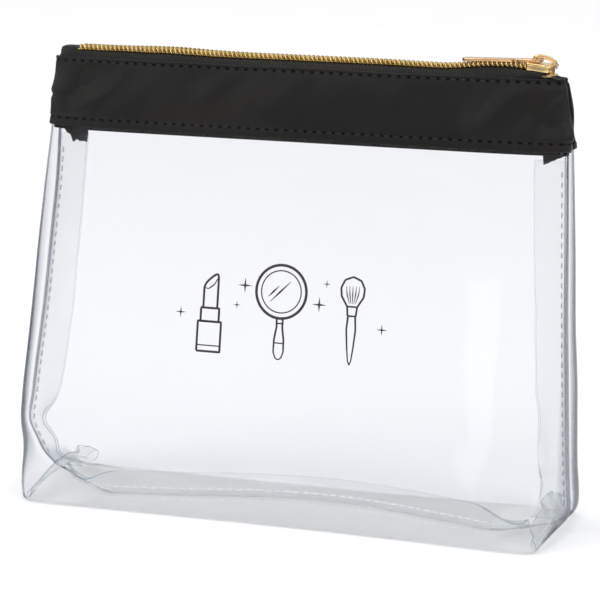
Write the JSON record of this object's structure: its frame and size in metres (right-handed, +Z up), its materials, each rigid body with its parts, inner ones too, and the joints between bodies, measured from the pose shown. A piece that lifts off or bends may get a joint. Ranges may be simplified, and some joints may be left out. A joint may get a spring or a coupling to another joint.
{
  "type": "makeup bag",
  "caption": "Clear film zip pouch with boxed base corners, black satin band, gold zip, slider with flat puller, and a mouth that opens as the slider runs.",
  "frame": {"origin": "middle of the base, on the surface that the bag stands on", "axes": "+X along the zip towards the end where the slider stops when the bag is closed, +Y from front to back, +Z up"},
  "size_m": [0.2384, 0.0708, 0.1914],
  "materials": {
    "clear_film": "clear, glossy, soft",
    "film_edge": "clear film seen edge on, greyer where it is double",
    "satin": "black satin with a soft sheen",
    "lining_cloth": "black ribbed facing, matt",
    "tape_cloth": "black woven zip tape",
    "dark_thread": "black sewing thread",
    "clear_thread": "grey sewing thread",
    "gold_coil": "gold metallised plastic coil",
    "gold_metal": "polished gold plating",
    "rose_gold_metal": "polished rose gold plating",
    "ink": "near-black printed ink"
  },
  "bodies": {
    "root": {"front_panel_lower": "clear_film", "bottom_stitches_front": "clear_thread", "back_panel_lower": "clear_film", "bottom_stitches_back": "clear_thread", "side_seam_left": "film_edge", "corner_seam_left": "film_edge", "side_stitches_left": "clear_thread", "corner_stitches_left": "clear_thread", "band_end_left": "satin", "side_seam_right": "film_edge", "corner_seam_right": "film_edge", "side_stitches_right": "clear_thread", "corner_stitches_right": "clear_thread", "band_end_right": "satin", "bottom_seam": "film_edge"},
    "front_lip": {"front_panel_upper": "clear_film", "front_band": "satin", "front_band_lining": "lining_cloth", "front_upper_stitches": "dark_thread", "front_lower_stitches": "dark_thread", "front_tape": "tape_cloth", "front_coil": "gold_coil", "front_print": "ink"},
    "back_lip": {"back_panel_upper": "clear_film", "back_band": "satin", "back_band_lining": "lining_cloth", "back_upper_stitches": "dark_thread", "back_lower_stitches": "dark_thread", "back_tape": "tape_cloth", "back_coil": "gold_coil"},
    "slider": {"slider_body": "gold_metal", "slider_bail": "gold_metal"},
    "puller": {"puller": "rose_gold_metal"}
  },
  "joints": [
    {"name": "slider_slide", "type": "slide", "parent": "root", "child": "slider", "axis": [1, 0, 0], "range_m": [-0.184, 0]},
    {"name": "puller_hinge", "type": "hinge", "parent": "slider", "child": "puller", "pos_m": [0.1004, 0, 0.1889], "axis": [0, 1, 0], "range_deg": [0, 170]},
    {"name": "front_lip_hinge", "type": "hinge", "parent": "root", "child": "front_lip", "pos_m": [0.0035, -0.02701, 0.06015], "axis": [1, 0, 0], "range_deg": [0, 12], "deforming": ["front_tape", "front_coil"]},
    {"name": "back_lip_hinge", "type": "hinge", "parent": "root", "child": "back_lip", "pos_m": [0.0035, 0.02701, 0.06015], "axis": [1, 0, 0], "range_deg": [-12, 0], "deforming": ["back_tape", "back_coil"]}
  ],
  "couplings": [
    {"joint": "front_lip_hinge", "follows": "slider_slide", "rad_per_m": -1.13},
    {"joint": "back_lip_hinge", "follows": "slider_slide", "rad_per_m": 1.13}
  ]
}
